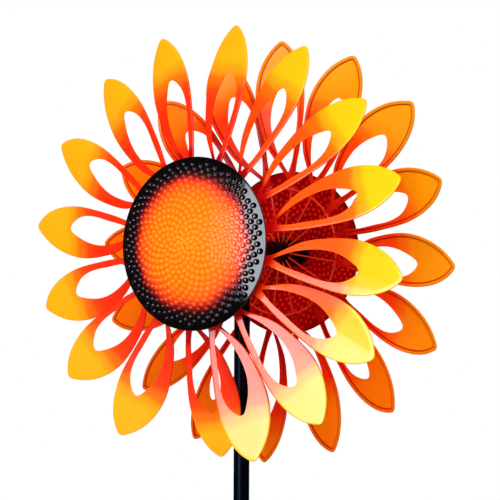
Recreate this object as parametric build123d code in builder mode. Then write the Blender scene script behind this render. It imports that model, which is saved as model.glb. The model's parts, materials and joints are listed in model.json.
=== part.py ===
"""Two-rotor wind spinner on a garden pole: sheet-metal petals, domed face discs, ground fork.

Millimetres, +Z up.  The origin is on the pole's axis at the ground line.  The rotor axis runs
along Y at the height HUB_Z, and the front rotor faces -Y.  The rear rotor is its mirror image.
"""

import os
from math import cos, hypot, radians, sin, sqrt

from build123d import *

# Overall layout
HUB_Z = 1380.0                 # height of the rotor axis above the ground
PETALS = 16                    # petals on each rotor
FRONT_PHASE = 7.85             # clockwise angle from the top to the first petal, seen from the front
REAR_PHASE = 4.1
PETAL_STEP = 360 / PETALS
SEAT_GAP = 0.05                # radial clearance of a pin or tube in its seat
DRILL_PAST = 1.0               # how far a drilled hole runs past the wall it goes through
HEXAGON = 6

# Ground fork
PRONG_R = 4.0
PRONG_PITCH_R = 80.0           # prongs stand on this radius about the pole's axis
PRONG_TIP_Z = -240.0
PRONG_POINT = 26.0             # length of the sharpened point
PRONG_POINT_R = 0.6
PRONG_BEND_R = 22.0
UPPER_BAR_Z = 44.0             # height of the crossbar of the fork rod along X
LOWER_BAR_Z = 34.0             # height of the crossbar of the fork rod along Y
FORK_BLOCK_R = 18.0
FORK_BLOCK_Z = (25.0, 54.0)
FORK_BLOCK_CHAMFER = 2.0
SOCKET_R = 14.0
SOCKET_TOP_Z = 130.0
POLE_FOOT_Z = 60.0

# Pole, in three lengths with inner sleeves at the two joints
POLE_R = 11.1
POLE_WALL = 1.2
JOINT_HEIGHTS = (500.0, 960.0)
POLE_TOP_Z = 1361.6
SLEEVE_WALL = 1.3
SLEEVE_HALF = 50.0
SCREW_R = 2.5
SCREW_HEAD_R = 4.6
SCREW_HEAD_H = 3.0
SCREW_HEAD_TAPER = 25.0
SCREW_HEAD_GAP = 0.1           # between a screw's head and the wall under it
SCREW_REACH = 8.2              # how far from the pole's axis a screw's end lies
SCREW_OFFSET = 22.0            # height of a screw above and below its pole joint
SOCKET_SCREW_Z = 105.0

# Head on the pole's top
TEE_R = 14.0
TEE_BORE_R = 11.5
TEE_FOOT_Z = 1318.0
TEE_POLE_BORE_R = 11.18
TEE_CEILING_Z = 1362.0
TEE_HALF = 64.0                # half length of the crosswise tube
PLUG_LENGTH = 14.0
CLAMP_Z = 1336.0
CLAMP_SCREW_R = 3.0
CLAMP_KNOB_R = 9.0
CLAMP_KNOB_X = (20.0, 30.0)
CLAMP_KNOB_GRIPS = 12
CLAMP_GRIP_R = 1.2
CLAMP_TIP_GAP = 0.15           # between the clamp screw's tip and the pole
CLAMP_BOSS_R = 7.0
CLAMP_BOSS_X = 18.5

# Axle and its hardware, measured along the rotor axis from the pole's centre
AXLE_R = 4.0
AXLE_HALF = 120.0
AXLE_CHAMFER = 0.8
WASHER_R = 8.0
INNER_WASHER = (64.0, 66.0)
OUTER_WASHER = (108.2, 109.8)
NUT_DEPTH = 8.0
NUT_FLATS = 13.0               # width across flats

# Rotor hub
HUB_R = 14.5
HUB_BORE_R = 6.0
HUB_SPAN = (67.8, 106.4)
HUB_FLANGE_R = 21.5
HUB_FLANGE_T = 3.0
HUB_CHAMFER = 1.0
BUSH_LENGTH = 13.0
BUSH_FLANGE_T = 1.4
BUSH_FLANGE_R = 8.5
BUSH_BORE_R = 4.06

# Face disc and the post that carries it
DISC_R = 119.0
DISC_RIM_Y = 123.0
DISC_RISE = 22.0
DISC_T = 0.8
DISC_LIP = 1.4                 # depth of the turned rim
POST_R = 14.0
POST_BORE_R = 12.0
POST_FLANGE_T = 2.0
BOLT_R = 1.25
BOLT_HEAD_R = 2.2
BOLT_HEAD_H = 2.0
BOLT_PITCH_R = 18.3
BOLT_COUNT = 4

# Ring and spokes that carry the petals
RING_R = 92.0
RING_WIRE_R = 1.5
RING_Y = 104.5
SPOKE_R = 1.2
SPOKE_ROOT_R = 15.2
SPOKE_ROOT_Y = 102.3
SPOKE_END_R = 90.8             # the spokes end in the ring's wire, short of the petals
ROOT_LEAD = 6.2                # angle by which a petal's root leads its tip, clockwise

# Petals: u runs outwards from the rotor axis in the petal's sheet, w across it, clockwise
PETAL_T = 0.8
PETAL_CONE = 5.8               # the sheet leans towards the pole by this angle
PETAL_PITCH = 13.5             # and is turned about its own length by this angle
PETAL_APEX_Y = 112.0           # where the lengthened sheet would meet the rotor axis
HEM_DEPTH = 3.6                # edge turned towards the pole
PETAL_ROOT_U = 92.6
PETAL_ROOT_W = 10.0
# petals bent by hand, each in degrees: clockwise on its root, then outwards from the pole
BENT_PETALS = {
    "front_petal_03": (-2.0, -3.5),
    "front_petal_04": (-1.5, -3.0),
    "front_petal_05": (3.0, -1.0),
    "front_petal_06": (1.0, 2.0),
    "front_petal_07": (0.0, 4.0),
    "front_petal_08": (-1.0, 6.0),
    "front_petal_09": (-10.5, -10.5),
    "front_petal_11": (1.0, 0.0),
    "front_petal_12": (-1.5, -1.0),
    "front_petal_13": (-1.0, 1.0),
    "front_petal_16": (-1.5, 1.0),
    "rear_petal_01": (-1.0, -1.5),
    "rear_petal_04": (0.5, -7.0),
    "rear_petal_05": (1.5, -4.0),
    "rear_petal_06": (1.0, -2.0),
    "rear_petal_07": (-1.0, -1.0),
    "rear_petal_08": (-2.0, 0.0),
    "rear_petal_09": (-2.0, 0.5),
}
EDGE_STEPS = (14, 3, 12)       # points of the hem's crease along the wide edge, the tip and the narrow edge
WIDE_EDGE = [(PETAL_ROOT_U, 5.0), (107, 2.8), (122, -4.8), (150, -24.0), (185, -36.0), (228, -42.0),
             (270, -33.0), (303, -9.0)]
NARROW_EDGE = [(303, 7.0), (270, 27.5), (228, 33.5), (185, 29.5), (150, 24.0), (122, 18.0),
               (PETAL_ROOT_U, 15.0)]
OPENING_TIP = (243.0, -0.7)
OPENING_FOOT = (116.5, 5.4)
OPENING_WIDE = [(231, -10.0), (211, -17.4), (193, -19.8), (165, -16.3), (138, -7.0)]
OPENING_NARROW = [(136, 12.4), (165, 17.0), (193, 21.2), (211, 21.2), (231, 14.6)]


def save(part, name):
    """Label a finished piece and write it to its own file."""
    part.label = name
    export_step(part, f"parts/{name}.step")


def side_plane(side, distance):
    """A plane across the rotor axis, facing outwards; side is -1 at the front and +1 at the rear."""
    return Plane(origin=(0, side * distance, HUB_Z), x_dir=(1, 0, 0), z_dir=(0, side, 0))


def face_angle(side, clockwise):
    """The angle in side_plane's own axes for one measured clockwise from the top, seen from the front."""
    return 90 - clockwise if side < 0 else clockwise - 90


def ground_forks():
    """Two U-shaped rods that cross under the pole and give four prongs."""
    layout = (("ground_fork_x", Plane.XZ, UPPER_BAR_Z), ("ground_fork_y", Plane.YZ, LOWER_BAR_Z))
    for name, across, bar_z in layout:
        shoulder_z = PRONG_TIP_Z + PRONG_POINT
        feet = [across.from_local_coords((end * PRONG_PITCH_R, shoulder_z, 0)) for end in (-1, 1)]
        corners = [across.from_local_coords((end * PRONG_PITCH_R, bar_z, 0)) for end in (-1, 1)]
        with BuildPart() as rod:
            with BuildLine() as route:
                FilletPolyline(feet[0], corners[0], corners[1], feet[1], radius=PRONG_BEND_R)
            with BuildSketch(Plane(origin=feet[0], z_dir=(0, 0, 1))):
                Circle(PRONG_R)
            sweep(path=route.line)
            with Locations(*feet):
                Cone(PRONG_POINT_R, PRONG_R, PRONG_POINT, align=(Align.CENTER, Align.CENTER, Align.MAX))
        save(rod.part, name)


def fork_socket():
    """The block that grips the two fork rods, with the tube that the pole stands in."""
    low, high = FORK_BLOCK_Z
    with BuildPart() as socket:
        with BuildSketch(Plane.XY.offset(low)):
            Circle(FORK_BLOCK_R)
        extrude(amount=high - low)
        chamfer(socket.edges().group_by(Axis.Z)[0], FORK_BLOCK_CHAMFER)
        with BuildSketch(Plane.XY.offset(high)):
            Circle(SOCKET_R)
        extrude(amount=SOCKET_TOP_Z - high)
        with BuildSketch(Plane.XY.offset(SOCKET_TOP_Z)):
            Circle(POLE_R + SEAT_GAP)
        extrude(amount=POLE_FOOT_Z - SOCKET_TOP_Z, mode=Mode.SUBTRACT)
        for across, bar_z in ((Plane.YZ, UPPER_BAR_Z), (Plane.XZ, LOWER_BAR_Z)):
            with BuildSketch(across):
                with Locations((0, bar_z)):
                    Circle(PRONG_R + SEAT_GAP)
            extrude(amount=FORK_BLOCK_R, both=True, mode=Mode.SUBTRACT)
        with BuildSketch(Plane.XZ):
            with Locations((0, SOCKET_SCREW_Z)):
                Circle(SCREW_R + SEAT_GAP)
        extrude(amount=SOCKET_R + DRILL_PAST, mode=Mode.SUBTRACT)
    save(socket.part, "fork_socket")


def screw_heights():
    """Heights of the screws that pin the socket, the pole lengths and their sleeves together."""
    heights = [SOCKET_SCREW_Z]
    for joint in JOINT_HEIGHTS:
        heights += [joint - SCREW_OFFSET, joint + SCREW_OFFSET]
    return heights


def drilled_tube(radius, bore, low, high):
    """An upright tube with a hole in its front wall for each screw within its length."""
    with BuildPart() as piece:
        with BuildSketch(Plane.XY.offset(low)):
            Circle(radius)
            Circle(bore, mode=Mode.SUBTRACT)
        extrude(amount=high - low)
        holes = [z for z in screw_heights() if low < z < high]
        if holes:
            with BuildSketch(Plane.XZ):
                with Locations(*[(0, z) for z in holes]):
                    Circle(SCREW_R + SEAT_GAP)
            extrude(amount=radius + DRILL_PAST, mode=Mode.SUBTRACT)
    return piece.part


def pole():
    """Three pole lengths, the two sleeves inside them and the screws."""
    ends = [POLE_FOOT_Z, *JOINT_HEIGHTS, POLE_TOP_Z]
    for name, low, high in zip(("pole_lower", "pole_middle", "pole_upper"), ends, ends[1:]):
        save(drilled_tube(POLE_R, POLE_R - POLE_WALL, low, high), name)
    sleeve_r = POLE_R - POLE_WALL - SEAT_GAP
    with BuildPart() as sleeves:
        for joint in JOINT_HEIGHTS:
            add(drilled_tube(sleeve_r, sleeve_r - SLEEVE_WALL, joint - SLEEVE_HALF, joint + SLEEVE_HALF))
    save(sleeves.part, "pole_sleeves")
    with BuildPart() as screws:
        for z in screw_heights():
            seat = SOCKET_R if z == SOCKET_SCREW_Z else POLE_R
            with BuildSketch(Plane.XZ.offset(SCREW_REACH)):
                with Locations((0, z)):
                    Circle(SCREW_R)
            extrude(amount=seat + SCREW_HEAD_GAP - SCREW_REACH)
            with BuildSketch(Plane.XZ.offset(seat + SCREW_HEAD_GAP)):
                with Locations((0, z)):
                    Circle(SCREW_HEAD_R)
            extrude(amount=SCREW_HEAD_H, taper=SCREW_HEAD_TAPER)
    save(screws.part, "pole_screws")


def head_tee():
    """The socket over the pole's top with the crosswise tube for the axle."""
    with BuildPart() as tee:
        with BuildSketch(Plane.XY.offset(TEE_FOOT_Z)):
            Circle(TEE_R)
        extrude(amount=HUB_Z - TEE_FOOT_Z)
        with BuildSketch(Plane.XZ):
            with Locations((0, HUB_Z)):
                Circle(TEE_R)
        extrude(amount=TEE_HALF, both=True)
        with BuildSketch(Plane.YZ):
            with Locations((0, CLAMP_Z)):
                Circle(CLAMP_BOSS_R)
        extrude(amount=-CLAMP_BOSS_X)
        with BuildSketch(Plane.XZ):
            with Locations((0, HUB_Z)):
                Circle(TEE_BORE_R)
        extrude(amount=TEE_HALF, both=True, mode=Mode.SUBTRACT)
        with BuildSketch(Plane.XY.offset(TEE_FOOT_Z)):
            Circle(TEE_POLE_BORE_R)
        extrude(amount=TEE_CEILING_Z - TEE_FOOT_Z, mode=Mode.SUBTRACT)
        with BuildSketch(Plane.YZ):
            with Locations((0, CLAMP_Z)):
                Circle(CLAMP_SCREW_R + SEAT_GAP)
        extrude(amount=-CLAMP_BOSS_X - DRILL_PAST, mode=Mode.SUBTRACT)
    save(tee.part, "head_tee")


def clamp_screw():
    """The knobbed screw that clamps the head on the pole."""
    start = POLE_R + CLAMP_TIP_GAP
    low, high = CLAMP_KNOB_X
    with BuildPart() as screw:
        with BuildSketch(Plane.YZ.offset(-start)):
            with Locations((0, CLAMP_Z)):
                Circle(CLAMP_SCREW_R)
        extrude(amount=start - low)
        with BuildSketch(Plane.YZ.offset(-low)):
            with Locations((0, CLAMP_Z)):
                Circle(CLAMP_KNOB_R)
                with PolarLocations(CLAMP_KNOB_R, CLAMP_KNOB_GRIPS):
                    Circle(CLAMP_GRIP_R, mode=Mode.SUBTRACT)
        extrude(amount=low - high)
    save(screw.part, "clamp_screw")


def head_plugs():
    """The two plugs that hold the axle in the crosswise tube."""
    with BuildPart() as plugs:
        for side in (-1, 1):
            with BuildSketch(side_plane(side, TEE_HALF)):
                Circle(TEE_BORE_R - SEAT_GAP)
                Circle(AXLE_R + SEAT_GAP, mode=Mode.SUBTRACT)
            extrude(amount=-PLUG_LENGTH)
    save(plugs.part, "head_plugs")


def axle():
    """The fixed axle through the head."""
    with BuildPart() as rod:
        with BuildSketch(side_plane(1, 0)):
            Circle(AXLE_R)
        extrude(amount=AXLE_HALF, both=True)
        chamfer(rod.edges().filter_by(GeomType.CIRCLE), AXLE_CHAMFER)
    save(rod.part, "axle")


def axle_hardware():
    """Washers on both sides of each hub, and the lock nuts at the axle's ends."""
    with BuildPart() as washers:
        for side in (-1, 1):
            for low, high in (INNER_WASHER, OUTER_WASHER):
                with BuildSketch(side_plane(side, low)):
                    Circle(WASHER_R)
                    Circle(AXLE_R + SEAT_GAP, mode=Mode.SUBTRACT)
                extrude(amount=high - low)
    save(washers.part, "axle_washers")
    with BuildPart() as nuts:
        for side in (-1, 1):
            with BuildSketch(side_plane(side, OUTER_WASHER[1])):
                RegularPolygon(NUT_FLATS / 2, HEXAGON, major_radius=False)
                Circle(AXLE_R + SEAT_GAP, mode=Mode.SUBTRACT)
            extrude(amount=NUT_DEPTH)
    save(nuts.part, "axle_nuts")


def hub(prefix, side, phase):
    """The hub barrel with its flange, which the spokes and the disc post are fixed to."""
    low, high = HUB_SPAN
    with BuildPart() as barrel:
        with BuildSketch(side_plane(side, low)):
            Circle(HUB_R)
        extrude(amount=high - low)
        with BuildSketch(side_plane(side, high)):
            Circle(HUB_FLANGE_R)
        extrude(amount=-HUB_FLANGE_T)
        with BuildSketch(side_plane(side, low)):
            Circle(HUB_BORE_R + SEAT_GAP)
        extrude(amount=high - low, mode=Mode.SUBTRACT)
        with BuildSketch(side_plane(side, high)):
            with PolarLocations(BOLT_PITCH_R, BOLT_COUNT, start_angle=bolt_angle(side, phase)):
                Circle(BOLT_R + SEAT_GAP)
        extrude(amount=-HUB_FLANGE_T, mode=Mode.SUBTRACT)
        inner_end = barrel.edges().filter_by(GeomType.CIRCLE).sort_by(lambda edge: abs(edge.center().Y))[:2]
        chamfer(inner_end.sort_by(lambda edge: edge.radius)[-1], HUB_CHAMFER)
    save(barrel.part, f"{prefix}_hub")


def bolt_angle(side, phase):
    """The first bolt's angle: half way between two spokes."""
    return face_angle(side, phase + ROOT_LEAD + PETAL_STEP / 2)


def bushes(prefix, side):
    """Two flanged bushes pressed into the ends of a hub."""
    low, high = HUB_SPAN
    with BuildPart() as pair:
        for face, inwards in ((low, 1), (high, -1)):
            with BuildSketch(side_plane(side, face)):
                Circle(HUB_BORE_R)
                Circle(BUSH_BORE_R, mode=Mode.SUBTRACT)
            extrude(amount=inwards * BUSH_LENGTH)
            with BuildSketch(side_plane(side, face)):
                Circle(BUSH_FLANGE_R)
                Circle(BUSH_BORE_R, mode=Mode.SUBTRACT)
            extrude(amount=-inwards * BUSH_FLANGE_T)
    save(pair.part, f"{prefix}_bushes")


def ring(prefix, side):
    """The wire ring that the petals are welded to."""
    with BuildPart() as hoop:
        with Locations(side_plane(side, RING_Y)):
            Torus(RING_R, RING_WIRE_R)
    save(hoop.part, f"{prefix}_ring")


def spokes(prefix, side, phase):
    """Straight wires from the hub flange to the ring, one for each petal."""
    length = hypot(SPOKE_END_R - SPOKE_ROOT_R, RING_Y - SPOKE_ROOT_Y)
    with BuildPart() as wires:
        for k in range(PETALS):
            angle = radians(phase + ROOT_LEAD + k * PETAL_STEP)
            outwards = Vector(sin(angle), 0, cos(angle))
            root = outwards * SPOKE_ROOT_R + Vector(0, side * SPOKE_ROOT_Y, HUB_Z)
            end = outwards * SPOKE_END_R + Vector(0, side * RING_Y, HUB_Z)
            with BuildSketch(Plane(origin=root, z_dir=end - root)):
                Circle(SPOKE_R)
            extrude(amount=length)
    save(wires.part, f"{prefix}_spokes")


def dome_height(radius, depth=0.0):
    """Distance from the pole's centre to the dome at a radius, depth being the way in from its outside."""
    sphere = (DISC_R ** 2 + DISC_RISE ** 2) / (2 * DISC_RISE)
    return DISC_RIM_Y + DISC_RISE - sphere + sqrt((sphere - depth) ** 2 - radius ** 2)


def face_disc(prefix, side):
    """The domed sheet disc with its turned rim."""
    # the profile lies in a plane through the rotor axis: first the radius, then the distance outwards
    profile_plane = Plane(origin=(0, 0, HUB_Z), x_dir=(1, 0, 0), z_dir=(0, 0, side))
    inner_r = DISC_R - DISC_T
    half_r = DISC_R / 2
    lip_y = DISC_RIM_Y - DISC_LIP
    with BuildPart() as disc:
        with BuildSketch(profile_plane):
            with BuildLine():
                outer = ThreePointArc((0, dome_height(0)),
                                      (half_r, dome_height(half_r)),
                                      (DISC_R, DISC_RIM_Y))
                inner = ThreePointArc((inner_r, dome_height(inner_r, DISC_T)),
                                      (half_r, dome_height(half_r, DISC_T)),
                                      (0, dome_height(0, DISC_T)))
                Polyline(outer @ 1, (DISC_R, lip_y), (inner_r, lip_y), inner @ 0)
                Line(inner @ 1, outer @ 0)
            make_face()
        revolve(axis=Axis((0, 0, HUB_Z), (0, 1, 0)))
    save(disc.part, f"{prefix}_face_disc")


def disc_post(prefix, side, phase):
    """The flanged tube between the hub and the middle of the face disc, and its bolts."""
    foot = HUB_SPAN[1]
    top = dome_height(POST_R, DISC_T) - SEAT_GAP
    with BuildPart() as post:
        with BuildSketch(side_plane(side, foot)):
            Circle(HUB_FLANGE_R)
            with PolarLocations(BOLT_PITCH_R, BOLT_COUNT, start_angle=bolt_angle(side, phase)):
                Circle(BOLT_R + SEAT_GAP, mode=Mode.SUBTRACT)
        extrude(amount=POST_FLANGE_T)
        with BuildSketch(side_plane(side, foot)):
            Circle(POST_R)
        extrude(amount=top - foot)
        with BuildSketch(side_plane(side, foot)):
            Circle(POST_BORE_R)
        extrude(amount=top - foot, mode=Mode.SUBTRACT)
    save(post.part, f"{prefix}_disc_post")
    grip = HUB_FLANGE_T + POST_FLANGE_T
    with BuildPart() as bolts:
        for distance, depth, shape_r in ((foot + POST_FLANGE_T, BOLT_HEAD_H, BOLT_HEAD_R),
                                         (foot + POST_FLANGE_T, -grip, BOLT_R),
                                         (foot - HUB_FLANGE_T, -BOLT_HEAD_H, BOLT_HEAD_R)):
            with BuildSketch(side_plane(side, distance)):
                with PolarLocations(BOLT_PITCH_R, BOLT_COUNT, start_angle=bolt_angle(side, phase)):
                    if shape_r == BOLT_R:
                        Circle(BOLT_R)
                    else:
                        RegularPolygon(shape_r, HEXAGON)
            extrude(amount=depth)
    save(bolts.part, f"{prefix}_disc_bolts")


def petal_plane(side, clockwise):
    """The plane of one petal's sheet: its own X runs outwards along the petal and its Z faces outwards."""
    turn, cone, pitch = radians(clockwise), radians(PETAL_CONE), radians(PETAL_PITCH)
    outwards = Vector(sin(turn), 0, cos(turn))
    across = Vector(cos(turn), 0, -sin(turn))
    normal = Vector(0, side, 0)
    along = outwards * cos(cone) - normal * sin(cone)
    sideways = across * cos(pitch) + normal * sin(pitch)
    return Plane(origin=(0, side * PETAL_APEX_Y, HUB_Z), x_dir=along, z_dir=along.cross(sideways) * side)


def inset_points(edge, count, side):
    """Points along an edge of the petal, moved in by the sheet's thickness."""
    for k in range(count):
        place = (k + 0.5) / count
        direction = edge % place
        yield edge @ place + Vector(-direction.Y, direction.X, 0) * side * PETAL_T


def bent_plane(plane, side, clockwise, outwards):
    """A petal's plane moved to its root, turned clockwise in its own sheet and then leant outwards."""
    root = plane.from_local_coords((PETAL_ROOT_U, side * PETAL_ROOT_W, 0))
    turned = plane.x_dir.rotate(Axis((0, 0, 0), plane.z_dir), side * clockwise)
    hinge = Axis((0, 0, 0), plane.z_dir.cross(turned))
    return Plane(origin=root, x_dir=turned.rotate(hinge, -outwards), z_dir=plane.z_dir.rotate(hinge, -outwards))


def petal(name, side, clockwise, bend):
    """One pressed petal: a leaf-shaped sheet with a leaf-shaped opening and a turned outer edge."""
    plane = bent_plane(petal_plane(side, clockwise), side, *bend)
    wide_steps, tip_steps, narrow_steps = EDGE_STEPS

    def at(point):
        return (point[0] - PETAL_ROOT_U, side * (point[1] - PETAL_ROOT_W))

    with BuildPart() as leaf:
        with BuildSketch(plane):
            with BuildLine():
                wide = Spline(*[at(point) for point in WIDE_EDGE])
                tip = TangentArc(wide @ 1, at(NARROW_EDGE[0]), tangent=wide % 1)
                narrow = Spline(*[at(point) for point in NARROW_EDGE], tangents=[tip % 1, (-1, 0)])
                Line(narrow @ 1, wide @ 0)
            make_face()
        extrude(amount=-PETAL_T)
        inner = [*inset_points(wide, wide_steps, side),
                 *inset_points(tip, tip_steps, side),
                 *inset_points(narrow, narrow_steps, side)]
        with BuildSketch(plane):
            with BuildLine():
                add([wide, tip, narrow])
                crease = Spline(*inner)
                Line(wide @ 0, crease @ 0)
                Line(narrow @ 1, crease @ 1)
            make_face()
        extrude(amount=-HEM_DEPTH)
        with BuildSketch(plane):
            with BuildLine():
                Spline(at(OPENING_TIP), *[at(point) for point in OPENING_WIDE], at(OPENING_FOOT))
                Spline(at(OPENING_FOOT), *[at(point) for point in OPENING_NARROW], at(OPENING_TIP))
            make_face()
        extrude(amount=-PETAL_T, mode=Mode.SUBTRACT)
    save(leaf.part, name)


def rotor(prefix, side, phase):
    """One complete rotor."""
    hub(prefix, side, phase)
    bushes(prefix, side)
    ring(prefix, side)
    spokes(prefix, side, phase)
    disc_post(prefix, side, phase)
    face_disc(prefix, side)
    for k in range(PETALS):
        name = f"{prefix}_petal_{k + 1:02d}"
        petal(name, side, phase + k * PETAL_STEP, BENT_PETALS.get(name, (0.0, 0.0)))


def main():
    os.makedirs("parts", exist_ok=True)
    ground_forks()
    fork_socket()
    pole()
    head_tee()
    head_plugs()
    clamp_screw()
    axle()
    axle_hardware()
    rotor("front", -1, FRONT_PHASE)
    rotor("rear", 1, REAR_PHASE)


main()
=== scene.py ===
"""Visual model of the two-rotor wind spinner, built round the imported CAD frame.  Metres, +Z up."""

import json
from math import cos, pi, radians, sin, sqrt

import bpy
import numpy as np
from mathutils import Matrix, Vector


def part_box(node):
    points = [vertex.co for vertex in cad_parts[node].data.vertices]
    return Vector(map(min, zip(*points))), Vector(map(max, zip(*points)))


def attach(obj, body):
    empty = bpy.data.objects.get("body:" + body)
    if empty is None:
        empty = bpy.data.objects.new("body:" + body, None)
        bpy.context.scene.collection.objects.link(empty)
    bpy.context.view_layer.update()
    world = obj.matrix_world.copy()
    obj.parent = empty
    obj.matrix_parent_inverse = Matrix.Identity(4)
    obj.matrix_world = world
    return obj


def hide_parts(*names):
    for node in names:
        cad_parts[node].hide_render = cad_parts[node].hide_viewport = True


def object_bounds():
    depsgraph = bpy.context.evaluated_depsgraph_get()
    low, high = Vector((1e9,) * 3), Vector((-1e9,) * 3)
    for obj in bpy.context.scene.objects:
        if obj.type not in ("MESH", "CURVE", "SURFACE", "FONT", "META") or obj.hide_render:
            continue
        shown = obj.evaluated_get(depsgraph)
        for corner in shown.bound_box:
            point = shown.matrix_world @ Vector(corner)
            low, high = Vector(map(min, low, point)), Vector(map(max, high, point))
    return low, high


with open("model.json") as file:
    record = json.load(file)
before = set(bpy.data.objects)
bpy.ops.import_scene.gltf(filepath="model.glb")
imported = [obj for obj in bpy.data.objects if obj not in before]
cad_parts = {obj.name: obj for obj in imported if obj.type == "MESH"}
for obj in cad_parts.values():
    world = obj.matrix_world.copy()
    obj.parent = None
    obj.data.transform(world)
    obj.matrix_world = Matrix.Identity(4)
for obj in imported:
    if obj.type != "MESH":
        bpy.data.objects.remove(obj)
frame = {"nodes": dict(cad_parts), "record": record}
cad_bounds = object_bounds()

MM = 0.001
WHITE = (1.0, 1.0, 1.0)
SIDES = {"front": -1, "rear": 1}
PETALS = 16

# Heights and distances read from the frame
axle_low, axle_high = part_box("axle")
HUB_Z = (axle_low.z + axle_high.z) / 2
disc_low, disc_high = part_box("rear_face_disc")
DISC_R = (disc_high.x - disc_low.x) / 2
CROWN_Y = disc_high.y
LIP_Y = disc_low.y

# Petals and discs are made as one surface and then thickened, in millimetres
SHEET_T = 0.8
WELD_DISTANCE = 0.02           # points of the surface nearer to each other than this are joined
SHARP_ANGLE = radians(42)      # edges that turn by more than this are left sharp

# Petal sheet, in millimetres: u runs outwards from the rotor axis, w across, clockwise
ROOT_U, ROOT_W = 92.6, 10.0    # middle of the root edge
TIP_U = 307.4
PETAL_LENGTH = TIP_U - ROOT_U
# Each outline is a smooth curve through its points: up the wide side, round the tip, down the narrow side
OUTER_EDGE = [(ROOT_U, 5.0), (107, 2.8), (122, -4.8), (150, -24.0), (185, -36.0), (228, -42.0),
              (270, -33.0), (303, -9.0),
              (TIP_U, -1.0),
              (303, 7.0), (270, 27.5), (228, 33.5), (185, 29.5), (150, 24.0), (122, 18.0), (ROOT_U, 15.0)]
OUTER_TIP = 8                  # which of its points is the tip
OPENING = [(116.5, 5.4), (138, -7.0), (165, -16.3), (193, -19.8), (211, -17.4), (231, -10.0),
           (243, -0.7),
           (231, 14.6), (211, 21.2), (193, 21.2), (165, 17.0), (136, 12.4), (116.5, 5.4)]
OPENING_TIP = 6
HEM_R = 1.4                    # the edge is rolled over at this radius, towards the pole
HEM_TURN = radians(192)        # by this much
HEM_LIP = 2.7                  # flat lip beyond the roll
HEM_START, HEM_FULL = 96.0, 116.0  # the roll grows between these distances from the rotor axis
CREASE_SHADE_W = 4.4                 # painted shade: on the inside, the sheet is darkened this far in from the roll
CREASE_SHADE_EDGE = 1.2              # width over which that darkness fades
OPEN_SHEET = 30.0              # distance from the roll that stands for a place without the painted crease shade
LIP_PLACE = 5.3                # and that stands for the roll and the lip, which get only a little of the painted shade
CAMBER = 1.7                   # the sheet falls back by this at CAMBER_HALF to either side of CAMBER_CENTRE
CAMBER_CENTRE, CAMBER_HALF = -4.0, 38.0
CAMBER_FADE = 40.0             # the camber grows over this length from the root
BOW = 2.2                      # and it sags by this in the middle of BOW_LENGTH, measured from the root
BOW_LENGTH = 215.0
ROOT_REACH = 2.0               # faces of the CAD petal within this of its nearest one are its root edge
LEVEL = 0.05                   # and its corners within this of the highest one are on its outer face
SIDE_STEPS = 64                # mesh points along each side of the leaf
SHEET_ROWS = 8                 # mesh rows between the opening and the edge
ROLL_ROWS = 8                  # and round the roll
OUTLINE_STEPS = 640            # points along each side of the edge, for measuring distances to it

# The red reaches further out on some petals than on others, by this share of their length; this is partly
# the spray and partly painted light and shade: less red on petals that the key light catches, and more on
# petals in shade, such as rear_petal_09
RED_REACH = {
    "front_petal_01": 0.01,
    "front_petal_05": -0.05,
    "front_petal_06": -0.06,
    "front_petal_07": -0.02,
    "front_petal_09": 0.09,
    "front_petal_12": 0.01,
    "front_petal_13": -0.02,
    "front_petal_14": -0.025,
    "front_petal_15": 0.01,
    "front_petal_16": 0.05,
    "rear_petal_04": 0.08,
    "rear_petal_06": 0.05,
    "rear_petal_09": 0.15,
    "rear_petal_15": 0.08,
    "rear_petal_16": 0.08,
}

NO_SHIFT = 0.5                 # an object colour can't be negative, so this stands for a reach of 0

# The petal, or the place between two petals, with the warmest paint, and how slowly the red comes back from
# there; the warmth is partly the spray and partly painted light on the side that the key light catches most
WARMEST_PETAL = {"front": 5, "rear": 2.9}
WARMTH_POWER = 0.7

# Face disc, in millimetres
BUMP_R = 4.0                   # radius of a bump at its foot
BUMP_H = 1.7                   # and its height
BUMP_FIRST_R = 3.21            # the bumps lie on a spiral, at BUMP_FIRST_R * k ** BUMP_POWER,
BUMP_POWER = 0.5634            # for k = 0.5, 1.5, 2.5 and so on
BUMP_FIELD_R = 113.0           # radius of the whole pattern
GOLDEN_ANGLE = pi * (3 - sqrt(5))
RIM_ROLL = 1.2                 # radius of the rounded rim
RIM_STEPS = 5                  # mesh rings round it
LIP_DEPTH = 1.4                # the dome ends this far above the rim's edge
DISC_AROUND = 1300             # mesh points round the disc
DISC_RINGS = 220               # and rings between its middle and its rim
MIDDLE_R = 0.4                 # radius of the smallest ring
SPRAY_CENTRE = (4.0, 0.3)      # middle of the sprayed rings, off the disc's own middle

# Stage, light and camera, in metres and degrees
FLOOR_HALF = 3.5               # half of its width
FLOOR_GAP = 0.002              # between the prongs' tips and the floor
FLOOR_FADE = (1.2, 3.3)        # the floor fades out between these distances from its middle
COOL_WHITE = (0.86, 0.92, 1.0)
WARM_WHITE = (1.0, 0.98, 0.95)
BACK_WHITE = (0.92, 0.96, 1.0)
# name, azimuth (0 in front, positive to the right), height over the hub, distance, width, height, watts,
# whether reflections show it, colour
SOFTBOXES = [
    ("tall_softbox", 4.5, 0.31, 3.0, 0.79, 3.4, 45, True, COOL_WHITE),
    ("low_softbox", -10.75, 0.29, 3.0, 0.817, 1.30, 14.6, True, COOL_WHITE),
    ("key_softbox", 46, 2.0, 2.6, 1.2, 1.2, 92, False, WARM_WHITE),
    ("left_fill", -25, -0.3, 3.0, 2.0, 2.0, 28, False, WARM_WHITE),
    ("back_softbox", 213, 0.6, 3.2, 1.0, 2.6, 50, False, BACK_WHITE),
    ("back_fill", 250, 0.2, 3.2, 2.0, 2.0, 25, False, WARM_WHITE),
]
ROOM_LIGHT = 0.22              # strength of the light from all round, in COOL_WHITE
REFLECTED_ROOM = 0.02          # and how bright the room is in reflections
REFLECTED_COLOUR = (0.7, 0.8, 1.0)
CAMERA_X, CAMERA_Y = 1.5532, -2.3503
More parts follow.
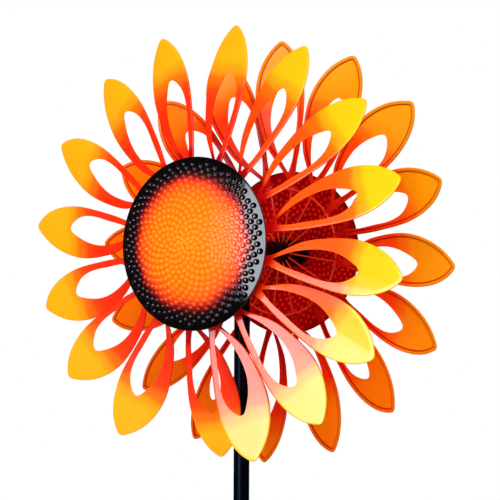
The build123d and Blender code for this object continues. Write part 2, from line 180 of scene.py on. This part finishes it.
CAMERA_DROP = 0.168            # how far below the hub the camera stands
CAMERA_TURN, CAMERA_TILT, CAMERA_ROLL = 33.24, 93.365, 0.24
CAMERA_FAR = 60.0              # nothing beyond this is drawn
SENSOR, LENS = 36.0, 143.6     # in millimetres


# ---------------------------------------------------------------- materials

class Shader:
    """A node material with one Principled shader, built by short calls."""

    def __init__(self, name):
        self.material = bpy.data.materials.new(name)
        self.material.use_nodes = True
        self.tree = self.material.node_tree
        self.tree.nodes.clear()
        output = self.node("ShaderNodeOutputMaterial")
        self.shader = self.node("ShaderNodeBsdfPrincipled")
        self.link(self.shader.outputs[0], output.inputs[0])
        self.position = self.node("ShaderNodeTexCoord").outputs["Object"]

    def node(self, kind, **settings):
        made = self.tree.nodes.new(kind)
        for key, value in settings.items():
            setattr(made, key, value)
        return made

    def link(self, source, target):
        self.tree.links.new(source, target)

    def set(self, **values):
        """Fixed values of the shader, by its sockets' names with _ for each space."""
        for key, value in values.items():
            self.shader.inputs[key.replace("_", " ")].default_value = value

    def math(self, operation, *values, clamp=False):
        """The outcome of an operation on values that are numbers or other nodes' outputs."""
        made = self.node("ShaderNodeMath", operation=operation, use_clamp=clamp)
        for socket, value in zip(made.inputs, values):
            if isinstance(value, (int, float)):
                socket.default_value = value
            else:
                self.link(value, socket)
        return made.outputs[0]

    def noise(self, scale, detail, roughness=0.5):
        made = self.node("ShaderNodeTexNoise")
        made.inputs["Scale"].default_value = scale
        made.inputs["Detail"].default_value = detail
        made.inputs["Roughness"].default_value = roughness
        self.link(self.position, made.inputs["Vector"])
        return made.outputs["Fac"]

    def drift(self, scale, detail, size):
        """Noise about zero, mostly within half of size to either side."""
        return self.math("MULTIPLY", self.math("SUBTRACT", self.noise(scale, detail), 0.5), size)

    def spread(self, value, low, high, to_low=0.0, to_high=1.0):
        """The value moved from the range low to high into another range, and kept within it."""
        made = self.node("ShaderNodeMapRange")
        for socket, number in zip(made.inputs[1:5], (low, high, to_low, to_high)):
            socket.default_value = number
        self.link(value, made.inputs[0])
        return made.outputs[0]

    def ramp(self, value, stops):
        """The colour at a place along the stops, which are pairs of a place and a colour."""
        made = self.node("ShaderNodeValToRGB")
        made.color_ramp.interpolation = "EASE"
        elements = made.color_ramp.elements
        for element, (place, colour) in zip(elements, (stops[0], stops[-1])):
            element.position = place
            element.color = (*colour, 1)
        for place, colour in stops[1:-1]:
            element = elements.new(place)
            element.color = (*colour, 1)
        self.link(value, made.inputs[0])
        return made.outputs[0]

    def mix(self, factor, a, b, blend="MIX"):
        """Colour a mixed with b; inputs 6 and 7 and output 2 are the mix node's sockets for colours."""
        made = self.node("ShaderNodeMix", data_type="RGBA", blend_type=blend)
        for socket, value in zip((made.inputs[0], made.inputs[6], made.inputs[7]), (factor, a, b)):
            if isinstance(value, (int, float)):
                socket.default_value = value
            elif isinstance(value, tuple):
                socket.default_value = (*value, 1)
            else:
                self.link(value, socket)
        return made.outputs[2]

    def bump(self, height, strength, distance):
        made = self.node("ShaderNodeBump")
        made.inputs["Strength"].default_value = strength
        made.inputs["Distance"].default_value = distance
        self.link(height, made.inputs["Height"])
        self.link(made.outputs[0], self.shader.inputs["Normal"])

    def colour(self, source):
        self.link(source, self.shader.inputs["Base Color"])

    def rough(self, source):
        self.link(source, self.shader.inputs["Roughness"])


def linear(value):
    """The linear value of one sRGB channel, which runs from 0 to 255."""
    share = value / 255
    return share / 12.92 if value <= 10 else ((share + 0.055) / 1.055) ** 2.4


def srgb(*channels):
    """A linear colour from its red, green and blue in sRGB."""
    return tuple(linear(value) for value in channels)


def enamel_finish(paint, roughness=0.16, peel=0.35, coat=0.5):
    """Glossy sprayed enamel: orange peel, uneven gloss and, where coat is above 0, a clear coat."""
    paint.rough(paint.spread(paint.noise(55, 3), 0.3, 0.7, roughness * 0.75, roughness * 1.35))
    peel_height = paint.math("ADD", paint.noise(380, 2), paint.math("MULTIPLY", paint.noise(1500, 1), 0.3))
    paint.bump(peel_height, peel, 0.12 * MM)
    paint.set(IOR=1.55, Coat_Weight=coat, Coat_Roughness=0.05)


def petal_paint(name, red_stops, warm_stops, clouding, shine, crease_shade_tint=WHITE):
    """Enamel airbrushed along the petal, from a red root to a light tip; some petals are warmer, partly by
    the spray and partly as painted light.

    The stops run from root to tip, red_stops for most petals and warm_stops for the warmest ones; the crease
    tint is painted shade along the roll.
    """
    paint = Shader(name)
    split = paint.node("ShaderNodeSeparateXYZ")
    paint.link(paint.position, split.inputs[0])
    unevenness = paint.math("ADD", paint.drift(28, 2, 14 * MM), paint.drift(900, 1, 5 * MM))
    along = paint.math("ADD", split.outputs[0], unevenness)
    info = paint.node("ShaderNodeObjectInfo")
    reach = paint.node("ShaderNodeSeparateColor")
    paint.link(info.outputs["Color"], reach.inputs[0])
    share = paint.math("DIVIDE", along, PETAL_LENGTH * MM)
    shift = paint.math("SUBTRACT", reach.outputs[0], NO_SHIFT)
    place = paint.math("SUBTRACT", share, shift, clamp=True)
    warmth = info.outputs["Alpha"]
    gradient = paint.mix(warmth, paint.ramp(place, red_stops), paint.ramp(place, warm_stops))
    shade = paint.spread(paint.noise(16, 2), 0.35, 0.65, 1 - clouding, 1.0)
    grey = paint.node("ShaderNodeCombineColor")
    for socket in grey.inputs:
        paint.link(shade, socket)
    clouded = paint.mix(1.0, gradient, grey.outputs[0], "MULTIPLY")
    # painted shade: the crease tint darkens the sheet in along the roll, where the lip shades it, and a
    # little on the roll and lip
    inset = paint.node("ShaderNodeAttribute", attribute_name="inset").outputs["Fac"]
    crease = paint.spread(inset, CREASE_SHADE_W, CREASE_SHADE_W + CREASE_SHADE_EDGE, 1.0, 0.0)
    paint.colour(paint.mix(1.0, clouded, paint.mix(crease, WHITE, crease_shade_tint), "MULTIPLY"))
    enamel_finish(paint, coat=0.5 * shine)
    paint.set(Specular_IOR_Level=0.5 * shine)
    return paint.material


def plain_enamel(name, colour, dark, roughness=0.16, coat=0.5, shine=0.5):
    """One-colour enamel, slightly cloudy and with specks of dust."""
    paint = Shader(name)
    cloud = paint.spread(paint.noise(22, 4, 0.6), 0.35, 0.7)
    base = paint.mix(cloud, dark, colour)
    dust = paint.spread(paint.noise(160, 5, 0.7), 0.62, 0.8, 0.0, 0.02)
    paint.colour(paint.mix(dust, base, srgb(120, 112, 104)))
    enamel_finish(paint, roughness, coat=coat)
    paint.set(Specular_IOR_Level=shine, Specular_Tint=(0.45, 0.75, 1.0, 1.0))
    return paint.material


def disc_paint(name, stops, gloss_stops, shine, valley_shade):
    """Enamel sprayed in rings about SPRAY_CENTRE, with painted shade in the hollows between the embossed
    bumps.

    Both lists of stops run from the middle to the rim.
    """
    paint = Shader(name)
    split = paint.node("ShaderNodeSeparateXYZ")
    paint.link(paint.position, split.inputs[0])
    across = paint.math("SUBTRACT", split.outputs[0], SPRAY_CENTRE[0] * MM)
    upwards = paint.math("SUBTRACT", split.outputs[1], SPRAY_CENTRE[1] * MM)
    squares = paint.math("ADD", paint.math("POWER", across, 2.0), paint.math("POWER", upwards, 2.0))
    radius = paint.math("SQRT", squares)
    unevenness = paint.math("ADD", paint.drift(35, 3, 12 * MM), paint.drift(700, 1, 6 * MM))
    place = paint.math("DIVIDE", paint.math("ADD", radius, unevenness), DISC_R, clamp=True)
    # painted shade: the paint is darkened by the valley colour where the bumps' relief is low
    relief = paint.node("ShaderNodeAttribute", attribute_name="relief").outputs["Fac"]
    tint = paint.mix(paint.spread(relief, 0.1, 0.8), valley_shade, WHITE)
    paint.colour(paint.mix(1.0, paint.ramp(place, stops), tint, "MULTIPLY"))
    enamel_finish(paint, roughness=0.12, peel=0.2)
    gloss = paint.ramp(place, gloss_stops)
    paint.link(paint.math("MULTIPLY", gloss, shine), paint.shader.inputs["Coat Weight"])
    paint.link(paint.math("MULTIPLY", gloss, 0.5 * shine), paint.shader.inputs["Specular IOR Level"])
    return paint.material


def zinc_steel():
    """Bright zinc on steel: spangle, dull patches and a fine grain."""
    paint = Shader("zinc_steel")
    spangle = paint.node("ShaderNodeTexVoronoi")
    spangle.inputs["Scale"].default_value = 420
    paint.link(paint.position, spangle.inputs["Vector"])
    tone = paint.spread(spangle.outputs["Distance"], 0.0, 0.8)
    paint.colour(paint.mix(tone, (0.62, 0.63, 0.65), (0.40, 0.41, 0.43)))
    paint.rough(paint.spread(paint.noise(90, 4), 0.3, 0.7, 0.26, 0.45))
    paint.bump(paint.noise(900, 3), 0.3, 0.1 * MM)
    paint.set(Metallic=1.0)
    return paint.material


def bronze():
    """Sintered bronze: fine pores and oil-darkened patches."""
    paint = Shader("sintered_bronze")
    oil = paint.spread(paint.noise(260, 4), 0.4, 0.7)
    paint.colour(paint.mix(oil, (0.50, 0.30, 0.12), (0.30, 0.17, 0.07)))
    paint.rough(paint.spread(paint.noise(700, 3), 0.3, 0.7, 0.35, 0.55))
    paint.bump(paint.noise(2400, 2), 0.4, 0.1 * MM)
    paint.set(Metallic=1.0)
    return paint.material


def black_plastic():
    """Moulded nylon with a fine matt grain."""
    paint = Shader("black_plastic")
    patches = paint.spread(paint.noise(60, 3), 0.3, 0.7)
    paint.colour(paint.mix(patches, (0.016, 0.016, 0.018), (0.028, 0.028, 0.03)))
    paint.rough(paint.spread(paint.noise(500, 3), 0.3, 0.7, 0.42, 0.6))
    paint.bump(paint.noise(1800, 3), 0.5, 0.1 * MM)
    return paint.material


# In both petal paints, the darkest red of the first stops, at the root behind the disc's rim, is partly the
# paint and partly painted shade
PETAL_OUTSIDE = petal_paint("petal_outside", [
    (0.00, srgb(170, 2, 4)),
    (0.13, srgb(190, 5, 5)),
    (0.20, srgb(244, 42, 7)),
    (0.46, srgb(248, 46, 7)),
    (0.56, srgb(252, 62, 7)),
    (0.64, srgb(252, 108, 9)),
    (0.70, srgb(252, 150, 10)),
    (0.76, srgb(252, 168, 10)),
    (1.00, srgb(252, 168, 11)),
], [
    (0.00, srgb(176, 3, 4)),
    (0.13, srgb(200, 8, 5)),
    (0.21, srgb(250, 80, 9)),
    (0.55, srgb(250, 84, 9)),
    (0.65, srgb(252, 98, 9)),
    (0.72, srgb(252, 156, 10)),
    (0.78, srgb(252, 187, 10)),
    (1.00, srgb(252, 191, 10)),
], clouding=0.06, shine=1.0)
PETAL_INSIDE = petal_paint("petal_inside", [
    (0.00, srgb(176, 6, 6)),
    (0.12, srgb(200, 14, 6)),
    (0.50, srgb(246, 38, 5)),
    (0.60, srgb(252, 76, 6)),
    (0.68, srgb(254, 104, 5)),
    (0.78, srgb(252, 112, 4)),
    (1.00, srgb(250, 110, 4)),
], [
    (0.00, srgb(200, 14, 6)),
    (0.12, srgb(226, 34, 8)),
    (0.50, srgb(252, 70, 8)),
    (0.60, srgb(255, 110, 10)),
    (0.68, srgb(255, 146, 9)),
    (0.78, srgb(255, 158, 9)),
    (1.00, srgb(255, 158, 9)),
# the colour of the painted crease shade on the inside
], clouding=0.05, shine=0.18, crease_shade_tint=(0.6, 0.17, 0.25))
DISC_OUTSIDE = disc_paint("disc_outside", [
    (0.00, srgb(250, 138, 8)),
    (0.44, srgb(250, 131, 8)),
    (0.56, srgb(248, 120, 8)),
    (0.62, srgb(248, 104, 9)),
    (0.68, srgb(242, 82, 9)),
    (0.72, srgb(208, 52, 9)),
    (0.755, srgb(142, 20, 8)),
    (0.795, srgb(60, 6, 7)),
    (0.85, srgb(16, 4, 6)),
    (0.93, srgb(6, 4, 7)),
    (1.00, srgb(5, 5, 8)),
], [
    (0.00, (0.4, 0.4, 0.4)),
    (0.45, (0.4, 0.4, 0.4)),
    (0.75, WHITE),
    (1.00, WHITE),
], shine=1.0, valley_shade=(0.92, 0.62, 0.5))
DISC_INSIDE = disc_paint("disc_inside", [
    (0.00, srgb(12, 6, 8)),
    (0.12, srgb(30, 5, 7)),
    (0.18, srgb(215, 8, 6)),
    (0.60, srgb(255, 24, 14)),
    (1.00, srgb(250, 18, 12)),
], [
    (0.00, (0.5, 0.5, 0.5)),
    (1.00, (0.5, 0.5, 0.5)),
], shine=0.3, valley_shade=(0.4, 0.14, 0.14))
# The frame's own nodes, by material slot
FINISHES = {
    "black_enamel": plain_enamel("black_enamel", srgb(4, 8, 16), srgb(2, 4, 8),
                                 roughness=0.22, coat=0.0, shine=0.1),
    "red_enamel": plain_enamel("red_enamel", srgb(244, 64, 28), srgb(226, 40, 16)),
    "zinc_steel": zinc_steel(),
    "bronze": bronze(),
    "black_plastic": black_plastic(),
}


# ---------------------------------------------------------------- petals

def smooth_curve(points):
    """A natural cubic spline through points: its function of distance, and each point's distance."""
    points = np.array(points, float)
    gaps = np.linalg.norm(np.diff(points, axis=0), axis=1)
    knots = np.concatenate([[0.0], np.cumsum(gaps)])
    count = len(knots)
    matrix = np.eye(count)
    right = np.zeros((count, 2))
    slopes = np.diff(points, axis=0) / gaps[:, None]
    for i in range(1, count - 1):
        matrix[i, i - 1:i + 2] = gaps[i - 1], 2 * (gaps[i - 1] + gaps[i]), gaps[i]
        right[i] = 6 * (slopes[i] - slopes[i - 1])
    bends = np.linalg.solve(matrix, right)

    def at(distance):
        i = np.clip(np.searchsorted(knots, distance, side="right") - 1, 0, count - 2)
        gap = gaps[i][:, None]
        a = (knots[i + 1] - distance)[:, None]
        b = (distance - knots[i])[:, None]
        curve = (bends[i] * a ** 3 + bends[i + 1] * b ** 3) / (6 * gap)
        before = (points[i] / gap - bends[i] * gap / 6) * a
        after = (points[i + 1] / gap - bends[i + 1] * gap / 6) * b
        return curve + before + after

    return at, knots


def loop(points, tip, steps):
    """Places and outward normals round a leaf outline, steps to each side and closer together at its tip."""
    at, knots = smooth_curve(points)
    share = np.linspace(0, 1, steps + 1)
    share = 0.5 * share + 0.5 * np.sin(share * pi / 2)
    first = share * knots[tip]
    second = knots[-1] - share[::-1][1:] * (knots[-1] - knots[tip])
    distances = np.concatenate([first, second])
    tiny = 0.01
    ahead = at(np.minimum(distances + tiny, knots[-1]))
    behind = at(np.maximum(distances - tiny, 0))
    direction = ahead - behind
    direction /= np.linalg.norm(direction, axis=1)[:, None]
    normals = np.stack([direction[:, 1], -direction[:, 0]], axis=1)
    return at(distances), normals


def petal_rows():
    """Rows of points from the opening to the edge, then round the roll, then the lip.

    A row holds its points' flat places, their heights over the sheet, and their distances in from the roll.
    """
    outer, normals = loop(OUTER_EDGE, OUTER_TIP, SIDE_STEPS)
    opening, _ = loop(OPENING, OPENING_TIP, SIDE_STEPS)
    outline, _ = loop(OUTER_EDGE, OUTER_TIP, OUTLINE_STEPS)
    hem = np.clip((outer[:, 0] - HEM_START) / (HEM_FULL - HEM_START), 0, 1)
    hem = (hem * hem * (3 - 2 * hem))[:, None]
    flat_edge = outer - normals * HEM_R * hem
    rows = []
    for row in range(SHEET_ROWS + 1):
        flat = opening + (flat_edge - opening) * (row / SHEET_ROWS)
        nearest = np.linalg.norm(flat[:, None] - outline[None], axis=2).min(axis=1)
        rows.append((flat, np.zeros((len(flat), 1)), nearest - HEM_R + OPEN_SHEET * (1 - hem[:, 0])))
    lip_place = np.full(len(outer), LIP_PLACE)
    for row in range(1, ROLL_ROWS + 1):
        angle = HEM_TURN * row / ROLL_ROWS
        rolled = flat_edge + normals * HEM_R * sin(angle) * hem
        rows.append((rolled, -HEM_R * (1 - cos(angle)) * hem, lip_place))
    rolled, depth, _ = rows[-1]
    lip = rolled + normals * HEM_LIP * cos(HEM_TURN) * hem
    rows.append((lip, depth - HEM_LIP * sin(HEM_TURN) * hem, lip_place))
    return rows


def bent_points(flat, height, side):
    """The flat points in the petal's own axes, with the sheet's camber and bow."""
    u, w = flat[:, 0], flat[:, 1]
    camber = -CAMBER * ((w - CAMBER_CENTRE) / CAMBER_HALF) ** 2
    fade = np.clip((u - ROOT_U) / CAMBER_FADE, 0, 1)
    bow = -BOW * np.sin(pi * np.clip((u - ROOT_U) / BOW_LENGTH, 0, 1))
    return np.stack([u - ROOT_U, side * (w - ROOT_W), camber * fade + bow + height[:, 0]], axis=1)


def petal_mesh(name, side):
    """The pressed leaf with its opening and its rolled edge, in the petal's own axes."""
    rows = petal_rows()
    around = len(rows[0][0])
    vertices = np.concatenate([bent_points(flat, height, side) for flat, height, _ in rows]) * MM
    faces = []
    paints = []
    for row in range(len(rows) - 1):
        for i in range(around):
            j = (i + 1) % around
            # the roll leaves the root's edge free: only the flat rows close into a ring there
            if j == 0 and row >= SHEET_ROWS:
                continue
            quad = [row * around + i, row * around + j, (row + 1) * around + j, (row + 1) * around + i]
            faces.append(quad[::-1] if side > 0 else quad)
            paints.append(int(row >= SHEET_ROWS + ROLL_ROWS // 2))  # 1, the inside's, past half of the roll
    sheet = bpy.data.meshes.new(name)
    sheet.from_pydata(vertices.tolist(), [], faces)
    sheet.materials.append(PETAL_OUTSIDE)
    sheet.materials.append(PETAL_INSIDE)
    sheet.polygons.foreach_set("material_index", paints)
    inset = sheet.attributes.new("inset", "FLOAT", "POINT")
    inset.data.foreach_set("value", np.concatenate([place for _, _, place in rows]))
    return thickened(sheet)


def thickened(sheet):
    """The sheet as a closed mesh, whose back takes the material after the front's."""
    holder = bpy.data.objects.new("sheet_being_thickened", sheet)
    bpy.context.scene.collection.objects.link(holder)
    weld = holder.modifiers.new("weld", "WELD")
    weld.merge_threshold = WELD_DISTANCE * MM
    solid = holder.modifiers.new("solid", "SOLIDIFY")
    solid.thickness = SHEET_T * MM
    solid.offset = -1
    solid.use_even_offset = True
    solid.material_offset = 1
    solid.material_offset_rim = 0
    depsgraph = bpy.context.evaluated_depsgraph_get()
    made = bpy.data.meshes.new_from_object(holder.evaluated_get(depsgraph))
    made.name = sheet.name
    bpy.data.objects.remove(holder)
    made.polygons.foreach_set("use_smooth", [True] * len(made.polygons))
    made.set_sharp_from_angle(angle=SHARP_ANGLE)
    made.update()
    return made


def from_axis(point):
    """The part of a point's place that is square to the rotor axis."""
    return Vector((point.x, 0, point.z - HUB_Z))


def petal_axes(node, side):
    """The petal's own axes, read from its CAD sheet: origin at the middle of its root edge.

    Its outer face and root edge are found by the cosines between normals and directions.
    """
    facing, square, towards_axis, straight_back = 0.5, 0.02, -0.85, -0.999
    mesh = frame["nodes"][node].data
    outer_faces = [p for p in mesh.polygons if p.normal.y * side > facing]
    outside = max(outer_faces, key=lambda p: p.area).normal.copy()
    edges = [p for p in mesh.polygons
             if abs(p.normal.dot(outside)) < square
             and p.normal.dot(from_axis(p.center).normalized()) < towards_axis]
    nearest = min(from_axis(p.center).length for p in edges)
    root = [p for p in edges if from_axis(p.center).length < nearest + ROOT_REACH * MM]
    along = -max(root, key=lambda p: p.area).normal
    corners = {mesh.vertices[i].co.to_tuple(6)
               for p in root if p.normal.dot(along) < straight_back for i in p.vertices}
    corners = [Vector(c) for c in corners]
    top = max(c.dot(outside) for c in corners)
    outer_corners = [c for c in corners if c.dot(outside) > top - LEVEL * MM]
    middle = sum(outer_corners, Vector()) / len(outer_corners)
    across = outside.cross(along)
    axes = Matrix((along, across, outside)).transposed().to_4x4()
    axes.translation = middle
    return axes


def petal_warmth(prefix, number):
    """How warm a petal's paint is, partly the spray and partly painted light: 1 where the rotor is warmest,
    and 0 on its other half.
    """
    turn = (number - WARMEST_PETAL[prefix]) * 2 * pi / PETALS
    return max(0.0, cos(turn)) ** WARMTH_POWER


def build_petals():
    """One leaf for each petal node of the frame, in place of it."""
    for prefix, side in SIDES.items():
        mesh = petal_mesh(f"{prefix}_petal_sheet", side)
        for k in range(1, PETALS + 1):
            node = f"{prefix}_petal_{k:02d}"
            petal = bpy.data.objects.new(f"{node}_leaf", mesh)
            bpy.context.scene.collection.objects.link(petal)
            petal.matrix_world = petal_axes(node, side)
            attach(petal, f"{prefix}_rotor")
            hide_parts(node)
            reach = NO_SHIFT + RED_REACH.get(node, 0.0)
            petal.color = (reach, NO_SHIFT, NO_SHIFT, petal_warmth(prefix, k))


# ---------------------------------------------------------------- face discs

def bump_heights(x, y):
    """Height of the embossed pattern at points of the disc, in millimetres."""
    count = int((BUMP_FIELD_R / BUMP_FIRST_R) ** (1 / BUMP_POWER))
    number = np.arange(count) + 0.5
    radius = BUMP_FIRST_R * number ** BUMP_POWER
    angle = number * GOLDEN_ANGLE
    centres = np.stack([radius * np.cos(angle), radius * np.sin(angle)], axis=1)
    nearest = np.full(len(x), np.inf)      # squared distance to the nearest bump's centre
    for cx, cy in centres:
        np.minimum(nearest, (x - cx) ** 2 + (y - cy) ** 2, out=nearest)
    share = np.minimum(nearest / BUMP_R ** 2, 1.0)
    return BUMP_H * (1 - share ** 2) ** 2


def disc_profile():
    """Radius and height of each ring from the middle to the rim, and whether it is embossed."""
    disc_r = DISC_R / MM
    crown = CROWN_Y / MM
    rise = crown - (LIP_Y / MM + LIP_DEPTH)
    sphere = (disc_r ** 2 + rise ** 2) / (2 * rise)
    domed = np.linspace(MIDDLE_R, disc_r - RIM_ROLL, DISC_RINGS)
    profile = [(r, crown - sphere + sqrt(sphere ** 2 - r ** 2), True) for r in domed]
    edge_r, edge_z, _ = profile[-1]
    for step in range(1, RIM_STEPS + 1):
        turn = step / RIM_STEPS * pi / 2
        profile.append((edge_r + RIM_ROLL * sin(turn), edge_z - RIM_ROLL * (1 - cos(turn)), False))
    profile.append((disc_r, LIP_Y / MM, False))
    return profile


def disc_mesh():
    """The domed, embossed disc about its own Z axis."""
    angles = np.linspace(0, 2 * pi, DISC_AROUND, endpoint=False)
    rings = []
    relief = []
    for r, z, embossed in disc_profile():
        x, y = r * np.cos(angles), r * np.sin(angles)
        lift = bump_heights(x, y) if embossed else np.zeros(DISC_AROUND)
        rings.append(np.stack([x, y, z + lift], axis=1))
        relief.append(lift / BUMP_H)
    middle = np.array([[0, 0, CROWN_Y / MM]])
    vertices = np.concatenate([*rings, middle]) * MM
    faces = []
    for ring in range(len(rings) - 1):
        start, following = ring * DISC_AROUND, (ring + 1) * DISC_AROUND
        for i in range(DISC_AROUND):
            j = (i + 1) % DISC_AROUND
            faces.append((start + i, following + i, following + j, start + j))
    centre = len(vertices) - 1
    faces += [(centre, i, (i + 1) % DISC_AROUND) for i in range(DISC_AROUND)]
    sheet = bpy.data.meshes.new("face_disc_sheet")
    sheet.from_pydata(vertices.tolist(), [], faces)
    heights = sheet.attributes.new("relief", "FLOAT", "POINT")
    heights.data.foreach_set("value", np.concatenate(relief + [[0.0]]))
    sheet.materials.append(DISC_OUTSIDE)
    sheet.materials.append(DISC_INSIDE)
    return thickened(sheet)


def build_discs():
    """Both discs share one mesh, turned so that its Z axis points away from the pole."""
    mesh = disc_mesh()
    for prefix, side in SIDES.items():
        disc = bpy.data.objects.new(f"{prefix}_embossed_disc", mesh)
        bpy.context.scene.collection.objects.link(disc)
        outwards = Vector((0, side, 0))
        right = Vector((1, 0, 0))
        axes = Matrix((right, outwards.cross(right), outwards)).transposed().to_4x4()
        axes.translation = Vector((0, 0, HUB_Z))
        disc.matrix_world = axes
        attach(disc, f"{prefix}_rotor")
        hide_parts(f"{prefix}_face_disc")


# ---------------------------------------------------------------- the frame's own nodes

def finish_nodes():
    """Materials for the nodes that are seen as the frame has them, by their slots in the record."""
    slots = {row["node"]: row["material_slot"] for row in frame["record"]["subparts"]}
    for name, node in frame["nodes"].items():
        if slots[name] in FINISHES:
            node.data.materials.clear()
            node.data.materials.append(FINISHES[slots[name]])


# ---------------------------------------------------------------- stage, light and camera

def build_stage():
    """A pale paper floor just under the prongs, which fades out towards its edge."""
    level = cad_bounds[0].z - FLOOR_GAP
    floor_mesh = bpy.data.meshes.new("floor")
    corners = [(x * FLOOR_HALF, y * FLOOR_HALF, level) for x, y in ((-1, -1), (1, -1), (1, 1), (-1, 1))]
    floor_mesh.from_pydata(corners, [], [(0, 1, 2, 3)])
    floor = bpy.data.objects.new("floor", floor_mesh)
    bpy.context.scene.collection.objects.link(floor)
    paint = Shader("floor_paper")
    patches = paint.spread(paint.noise(3, 3), 0.3, 0.7)
    paint.colour(paint.mix(patches, (0.86, 0.86, 0.86), (0.90, 0.90, 0.90)))
    paint.rough(paint.spread(paint.noise(40, 2), 0.3, 0.7, 0.6, 0.75))
    distance = paint.node("ShaderNodeVectorMath", operation="LENGTH")
    paint.link(paint.position, distance.inputs[0])
    fade = paint.spread(distance.outputs["Value"], *FLOOR_FADE, 1.0, 0.0)
    paint.link(fade, paint.shader.inputs["Alpha"])
    floor_mesh.materials.append(paint.material)
    floor.visible_glossy = False


def softbox(name, azimuth, height, distance, width, tall, power, glossy, colour):
    """A soft rectangular light that faces the hub."""
    light = bpy.data.lights.new(name, "AREA")
    light.shape = "RECTANGLE"
    light.size = width
    light.size_y = tall
    light.energy = power
    light.color = colour
    lamp = bpy.data.objects.new(name, light)
    bpy.context.scene.collection.objects.link(lamp)
    turn = radians(azimuth)
    hub = Vector((0, 0, HUB_Z))
    lamp.location = hub + Vector((sin(turn) * distance, -cos(turn) * distance, height))
    lamp.rotation_euler = (hub - lamp.location).to_track_quat("-Z", "Y").to_euler()
    lamp.visible_glossy = glossy


def background(tree, colour, strength):
    """A background node of one colour."""
    made = tree.nodes.new("ShaderNodeBackground")
    made.inputs["Color"].default_value = (*colour, 1)
    made.inputs["Strength"].default_value = strength
    return made


def build_room():
    """A white backdrop to the camera, soft light from all round, and a dark room to reflections."""
    world = bpy.data.worlds.new("studio")
    bpy.context.scene.world = world
    world.use_nodes = True
    tree = world.node_tree
    tree.nodes.clear()
    output = tree.nodes.new("ShaderNodeOutputWorld")
    path = tree.nodes.new("ShaderNodeLightPath")
    paper = background(tree, WHITE, 1.0)
    room = background(tree, COOL_WHITE, ROOM_LIGHT)
    dark_room = background(tree, REFLECTED_COLOUR, REFLECTED_ROOM)
    glossy = tree.nodes.new("ShaderNodeMixShader")
    tree.links.new(path.outputs["Is Glossy Ray"], glossy.inputs[0])
    tree.links.new(room.outputs[0], glossy.inputs[1])
    tree.links.new(dark_room.outputs[0], glossy.inputs[2])
    seen = tree.nodes.new("ShaderNodeMixShader")
    tree.links.new(path.outputs["Is Camera Ray"], seen.inputs[0])
    tree.links.new(glossy.outputs[0], seen.inputs[1])
    tree.links.new(paper.outputs[0], seen.inputs[2])
    tree.links.new(seen.outputs[0], output.inputs[0])


def build_camera():
    """The camera stands in front and to the right, a little below the hub, and looks slightly upwards."""
    lens_data = bpy.data.cameras.new("camera")
    lens_data.sensor_width = SENSOR
    lens_data.lens = LENS
    lens_data.clip_end = CAMERA_FAR
    camera = bpy.data.objects.new("camera", lens_data)
    bpy.context.scene.collection.objects.link(camera)
    place = Matrix.Translation((CAMERA_X, CAMERA_Y, HUB_Z - CAMERA_DROP))
    turn = Matrix.Rotation(radians(CAMERA_TURN), 4, "Z")
    tilt = Matrix.Rotation(radians(CAMERA_TILT), 4, "X")
    roll = Matrix.Rotation(radians(CAMERA_ROLL), 4, "Z")
    camera.matrix_world = place @ turn @ tilt @ roll
    bpy.context.scene.camera = camera


build_camera()
build_petals()
build_discs()
finish_nodes()
build_stage()
for settings in SOFTBOXES:
    softbox(*settings)
build_room()
bpy.context.scene.view_settings.view_transform = "Standard"
